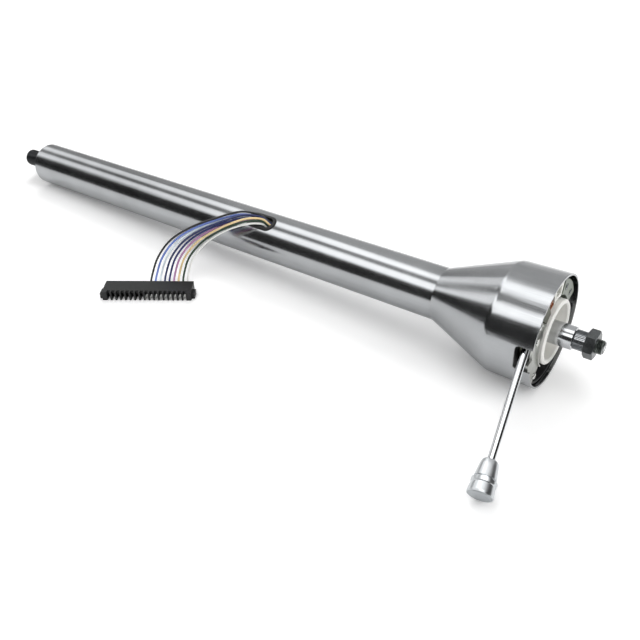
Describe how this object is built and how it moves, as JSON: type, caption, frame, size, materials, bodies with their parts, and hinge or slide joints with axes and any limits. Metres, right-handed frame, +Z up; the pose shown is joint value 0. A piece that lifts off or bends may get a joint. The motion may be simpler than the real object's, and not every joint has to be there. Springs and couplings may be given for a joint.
{
  "type": "steering column",
  "caption": "Steering column: straight tube with a flared bell housing, splined shaft, turn lever with knob, and a wire harness with a flat plug.",
  "frame": {"origin": "lower tip of the steering shaft, on the column's axis", "axes": "+X along the column towards the wheel, tipped up by 2.3 degrees as the column lies on a surface; +Z up; the turn lever points towards -Y"},
  "size_m": [0.7781, 0.2313, 0.1045],
  "materials": {
    "brushed_steel": "drawn and lengthwise brushed steel",
    "steel_plate": "bright zinc passivated steel",
    "cast_zinc": "as cast zinc",
    "zinc_plate": "zinc plated",
    "black_screw": "black oxide",
    "bright_screw": "zinc plated",
    "black_plastic": "moulded",
    "bearing_steel": "ground",
    "spring_steel": "drawn",
    "black_steel": "phosphated",
    "polished_steel": "ground and polished",
    "white_nylon": "moulded",
    "copper": "stamped",
    "grey_plastic": "moulded",
    "white_plastic": "moulded",
    "chrome": "plated",
    "turned_aluminium": "turned and clear anodised",
    "black_rubber": "moulded",
    "loom_tape": "wound tape",
    "plug_nylon": "moulded",
    "tinned_brass": "tinned",
    "black_wire": "extruded insulation",
    "light_blue_wire": "extruded insulation",
    "pale_blue_wire": "extruded insulation",
    "navy_wire": "extruded insulation",
    "dark_blue_wire": "extruded insulation",
    "purple_wire": "extruded insulation",
    "peach_wire": "extruded insulation",
    "green_wire": "extruded insulation",
    "white_wire": "extruded insulation"
  },
  "bodies": {
    "column": {"column_tube": "brushed_steel", "bell": "brushed_steel", "tube_end_plate": "steel_plate", "bearing_housing": "cast_zinc", "housing_screws": "black_screw", "foot_plug": "black_plastic", "lower_outer_race": "bearing_steel", "lower_balls": "bearing_steel", "upper_outer_race": "bearing_steel", "upper_balls": "bearing_steel", "switch_base": "black_plastic", "switch_block": "grey_plastic", "block_springs": "spring_steel", "switch_frame": "white_plastic", "contact_strips": "copper", "switch_screws": "black_screw", "pivot_bracket": "zinc_plate", "bracket_screws": "bright_screw", "pivot_pin": "bright_screw", "detent_spring": "spring_steel", "horn_brush": "copper", "harness_grommet": "black_rubber", "harness_run": "loom_tape", "wire_1": "black_wire", "wire_2": "light_blue_wire", "wire_3": "pale_blue_wire", "wire_4": "navy_wire", "wire_5": "dark_blue_wire", "wire_6": "purple_wire", "wire_7": "peach_wire", "wire_8": "green_wire", "wire_9": "white_wire", "plug_shell": "plug_nylon", "plug_contacts": "tinned_brass"},
    "steering_shaft": {"lower_inner_race": "bearing_steel", "upper_inner_race": "bearing_steel", "race_seat": "steel_plate", "preload_spring": "spring_steel", "retaining_ring": "spring_steel", "lower_shaft": "black_steel", "upper_shaft": "polished_steel", "shear_pins": "white_nylon", "cancel_cam": "white_nylon", "horn_ring": "copper", "wheel_nut": "black_steel"},
    "turn_lever": {"lever_arm": "cast_zinc", "lever_rod": "chrome", "lever_knob": "turned_aluminium", "knob_cap": "turned_aluminium"},
    "hazard_switch": {"hazard_stem": "chrome", "hazard_knob": "black_plastic"}
  },
  "joints": [
    {"name": "steering_turn", "type": "hinge", "parent": "column", "child": "steering_shaft", "pos_m": [0, 0, 0], "axis": [0.9992, 0, 0.0394], "continuous": true},
    {"name": "turn_signal", "type": "hinge", "parent": "column", "child": "turn_lever", "pos_m": [0.72549, -0.03535, 0.03825], "axis": [0.9992, 0, 0.0394], "range_deg": [-9, 9]},
    {"name": "hazard_push", "type": "slide", "parent": "column", "child": "hazard_switch", "axis": [0.0068, 0.9848, -0.1735], "range_m": [-0.005, 0]}
  ]
}
